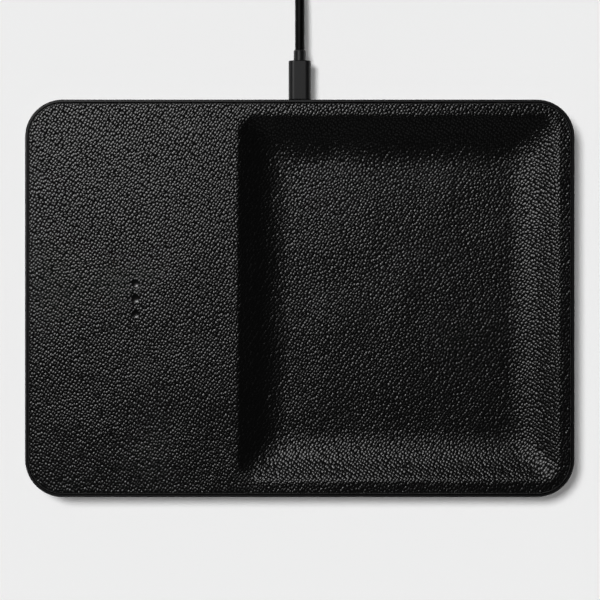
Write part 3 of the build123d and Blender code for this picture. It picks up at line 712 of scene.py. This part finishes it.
class CHARGINGTRAY_OT_stage(bpy.types.Operator):
    """Set the camera, the lamps and the floor"""

    bl_idname = "charging_tray.stage"
    bl_label = "Stage"

    def execute(self, context):
        picture_width = 288.2 * MM
        distance = 1.35
        aim_x = 0.1 * MM
        aim_y = -0.8 * MM
        lens = bpy.data.cameras.new("camera")
        lens.sensor_width = 36.0
        lens.lens = lens.sensor_width * distance / picture_width
        camera = bpy.data.objects.new("camera", lens)
        camera.location = (aim_x, aim_y, RIM_HIGH.z + distance)
        context.scene.collection.objects.link(camera)
        context.scene.camera = camera

        bpy.ops.object.select_all(action="DESELECT")
        bpy.ops.mesh.primitive_plane_add(size=16.0, location=(0, 0, 0))
        floor = context.active_object
        floor.name = "floor"
        floor.data.materials.append(paper_floor())

        # A dark ceiling and paler walls: seen from the side, gloss shows the walls
        world = bpy.data.worlds.new("studio")
        context.scene.world = world
        world.use_nodes = True
        tree = world.node_tree
        direction = add_node(tree, "ShaderNodeTexCoord").outputs["Generated"]
        height = add_node(tree, "ShaderNodeSeparateXYZ", {"Vector": direction}).outputs["Z"]
        shade = add_node(tree, "ShaderNodeMapRange", {
            "Value": height, "From Min": 0.05, "From Max": 0.4, "To Min": 0.3, "To Max": 0.018,
        }, interpolation_type="SMOOTHSTEP")
        tree.links.new(shade.outputs["Result"], tree.nodes["Background"].inputs["Strength"])
        tree.nodes["Background"].inputs["Color"].default_value = (1.0, 1.0, 1.0, 1.0)
        context.scene.view_settings.view_transform = "Standard"

        add_softbox("softbox", (-0.30, 0.37, 0.80), 0.28, 3.25)
        # A weak box in front, which the recess's rear wall shows
        add_softbox("front_softbox", (0.05, -0.60, 0.54), 0.28, 0.08)
        add_daylight("daylight", (-0.31, 0.26, 1.0), 18, 2.54)
        add_daylight("fill", (0.0, 0.0, 1.0), 6, 0.7)
        return {"FINISHED"}


class CHARGINGTRAY_OT_cord(bpy.types.Operator):
    """Add the cord with its coil"""

    bl_idname = "charging_tray.cord"
    bl_label = "Cord"

    def execute(self, context):
        make_cord()
        return {"FINISHED"}


class CHARGINGTRAY_OT_leather_cover(bpy.types.Operator):
    """Add the leather cover"""

    bl_idname = "charging_tray.leather_cover"
    bl_label = "Leather cover"

    def execute(self, context):
        make_leather_cover()
        return {"FINISHED"}


class CHARGINGTRAY_OT_strap(bpy.types.Operator):
    """Add the woven strap round the coil"""

    bl_idname = "charging_tray.strap"
    bl_label = "Strap"

    def execute(self, context):
        make_strap()
        return {"FINISHED"}


class CHARGINGTRAY_OT_contacts(bpy.types.Operator):
    """Add the gold contacts of the socket and of the far plug"""

    bl_idname = "charging_tray.contacts"
    bl_label = "Contacts"

    def execute(self, context):
        # Twelve contacts on each face of the socket's tongue, half a millimetre apart
        tongue = (TONGUE_LOW + TONGUE_HIGH) / 2
        run = 0.6 * (TONGUE_HIGH.y - TONGUE_LOW.y)
        for name, level in (("tongue_contacts_low", TONGUE_LOW.z), ("tongue_contacts_high", TONGUE_HIGH.z)):
            middle = Vector((0, TONGUE_HIGH.y - 0.3 * MM - run / 2, level))
            make_contacts(name, middle, pitch=0.5 * MM, count=12, width=0.25 * MM, run=run,
                          thickness=0.06 * MM, along="Y", body="tray")
        # Four contacts on the far plug's block
        run = 7.5 * MM
        middle = Vector((FAR_BLOCK_HIGH.x - 0.8 * MM - run / 2, (FAR_BLOCK_LOW.y + FAR_BLOCK_HIGH.y) / 2,
                         FAR_BLOCK_HIGH.z))
        make_contacts("far_contacts", middle, pitch=2.4 * MM, count=4, width=1.1 * MM, run=run,
                      thickness=0.12 * MM, along="X", body="cable")
        return {"FINISHED"}


class CHARGINGTRAY_OT_outer_finishes(bpy.types.Operator):
    """Give the rim, the base and the plugs their finishes"""

    bl_idname = "charging_tray.outer_finishes"
    bl_label = "Outer finishes"

    def execute(self, context):
        # Anodised aluminium: dark, smooth and satin, with the grain of a bead-blasted face
        rim = grainy_finish("Rim, anodised aluminium", colours().rim, 0.5, 0.25 * MM, 0.002 * MM)
        dress_nodes(rim, "rim_frame")
        # Moulded ABS: its fine spark-eroded texture makes the body look satin
        plug = grainy_finish("Plug, moulded ABS", colours().plug, 0.46, 0.2 * MM, 0.004 * MM)
        dress_nodes(plug, "plug_overmould", "plug_collar", "far_collar", "far_overmould")
        # Nickel plate: bright and slightly clouded where it was drawn
        nickel = grainy_finish("Nickel plate, drawn steel", linear("#b9b6ae"), 0.24, 0.7 * MM, 0.001 * MM,
                               metallic=1.0)
        dress_nodes(nickel, "plug_shell", "far_shell", "socket_shell")
        # Silicone rubber: dead matt, with a grip texture
        pad = grainy_finish("Silicone rubber, moulded matt", linear("#161617"), 0.85, 0.5 * MM, 0.05 * MM)
        dress_nodes(pad, "non_slip_pad")
        # Powder coat: an orange-peel skin over steel sheet
        base = grainy_finish("Powder coat, fine texture", linear("#141414"), 0.6, 0.9 * MM, 0.03 * MM)
        dress_nodes(base, "base_plate")
        # Black zinc on steel: dark grey with a dull metal shine
        screws = grainy_finish("Black zinc, plated steel", linear("#4a4a4c"), 0.38, 0.3 * MM, 0.002 * MM,
                               metallic=1.0)
        dress_nodes(screws, "base_screws", "carrier_screws", "board_screws", "usb_board_screws")
        return {"FINISHED"}


class CHARGINGTRAY_OT_inner_finishes(bpy.types.Operator):
    """Give the electronics and the carrier their finishes"""

    bl_idname = "charging_tray.inner_finishes"
    bl_label = "Inner finishes"

    def execute(self, context):
        # Moulded ABS with glass fibre: matt, faintly cloudy
        form = grainy_finish("ABS, moulded with glass fibre", linear("#1d1d1f"), 0.55, 0.4 * MM, 0.01 * MM)
        dress_nodes(form, "top_form", "coil_carrier")
        # Enamelled litz wire: copper under a clear orange enamel
        dress_nodes(wound_copper(), "coil_front", "coil_middle", "coil_rear")
        # Sintered ferrite: dark grey, dry and slightly pitted
        ferrite = grainy_finish("Ferrite, sintered", linear("#3a3a3d"), 0.7, 0.6 * MM, 0.02 * MM)
        dress_nodes(ferrite, "ferrite_sheet", "power_inductors")
        # Epoxy moulding compound: charcoal and matt
        epoxy = grainy_finish("Epoxy, transfer moulded", linear("#151517"), 0.5, 0.15 * MM, 0.004 * MM)
        dress_nodes(epoxy, "controller_chips", "thermistor", "socket_tongue", "plug_insulator")
        # Solder mask: glossy green lacquer over glass fibre
        mask = grainy_finish("Solder mask, screen-printed", linear("#0f4a28"), 0.28, 0.8 * MM, 0.004 * MM)
        dress_nodes(mask, "main_board", "usb_board")
        # Barium titanate ceramic: tan and fired
        ceramic = grainy_finish("Ceramic, fired", linear("#b08f64"), 0.5, 0.3 * MM, 0.006 * MM)
        dress_nodes(ceramic, "resonance_capacitors")
        # Nylon: natural ivory, slightly waxy
        nylon = grainy_finish("Nylon, moulded natural", linear("#e2dccb"), 0.45, 0.3 * MM, 0.004 * MM)
        dress_nodes(nylon, "coil_headers", "flex_connectors")
        # Silicone wire jacket: red and soft
        jacket = grainy_finish("Silicone jacket, extruded", linear("#8f1f1c"), 0.5, 0.3 * MM, 0.004 * MM)
        dress_nodes(jacket, "coil_leads")
        # Polyimide film: clear amber over copper
        film = grainy_finish("Polyimide film, rolled", linear("#c4791f"), 0.25, 0.8 * MM, 0.002 * MM)
        dress_nodes(film, "flex_cable")
        # PBT: opaque white, slightly glossy
        white = grainy_finish("PBT, moulded white", linear("#e9e9e6"), 0.4, 0.3 * MM, 0.004 * MM)
        dress_nodes(white, "far_insulator")
        return {"FINISHED"}


OPERATORS = (
    CHARGINGTRAY_OT_stage,
    CHARGINGTRAY_OT_cord,
    CHARGINGTRAY_OT_leather_cover,
    CHARGINGTRAY_OT_strap,
    CHARGINGTRAY_OT_contacts,
    CHARGINGTRAY_OT_outer_finishes,
    CHARGINGTRAY_OT_inner_finishes,
)


class CHARGINGTRAY_PT_sidebar(bpy.types.Panel):
    """Sidebar list of the tray's pieces, sizes and colours"""

    bl_idname = "CHARGINGTRAY_PT_sidebar"
    bl_label = "Charging Tray"
    bl_space_type = "VIEW_3D"
    bl_region_type = "UI"
    bl_category = "Charging Tray"

    def draw(self, context):
        for operator in OPERATORS:
            self.layout.operator(operator.bl_idname)
        for group in (context.scene.charging_tray_sizes, context.scene.charging_tray_colours):
            for name in group.__annotations__:
                self.layout.prop(group, name)


CLASSES = (ChargingTraySizes, ChargingTrayColours, *OPERATORS, CHARGINGTRAY_PT_sidebar)


def register():
    for each in CLASSES:
        bpy.utils.register_class(each)
    bpy.types.Scene.charging_tray_sizes = PointerProperty(type=ChargingTraySizes)
    bpy.types.Scene.charging_tray_colours = PointerProperty(type=ChargingTrayColours)


def unregister():
    del bpy.types.Scene.charging_tray_sizes
    del bpy.types.Scene.charging_tray_colours
    for each in reversed(CLASSES):
        bpy.utils.unregister_class(each)


def main():
    register()
    bpy.ops.charging_tray.stage()
    bpy.ops.charging_tray.cord()
    bpy.ops.charging_tray.leather_cover()
    bpy.ops.charging_tray.strap()
    bpy.ops.charging_tray.contacts()
    bpy.ops.charging_tray.outer_finishes()
    bpy.ops.charging_tray.inner_finishes()


if __name__ == "__main__":
    main()
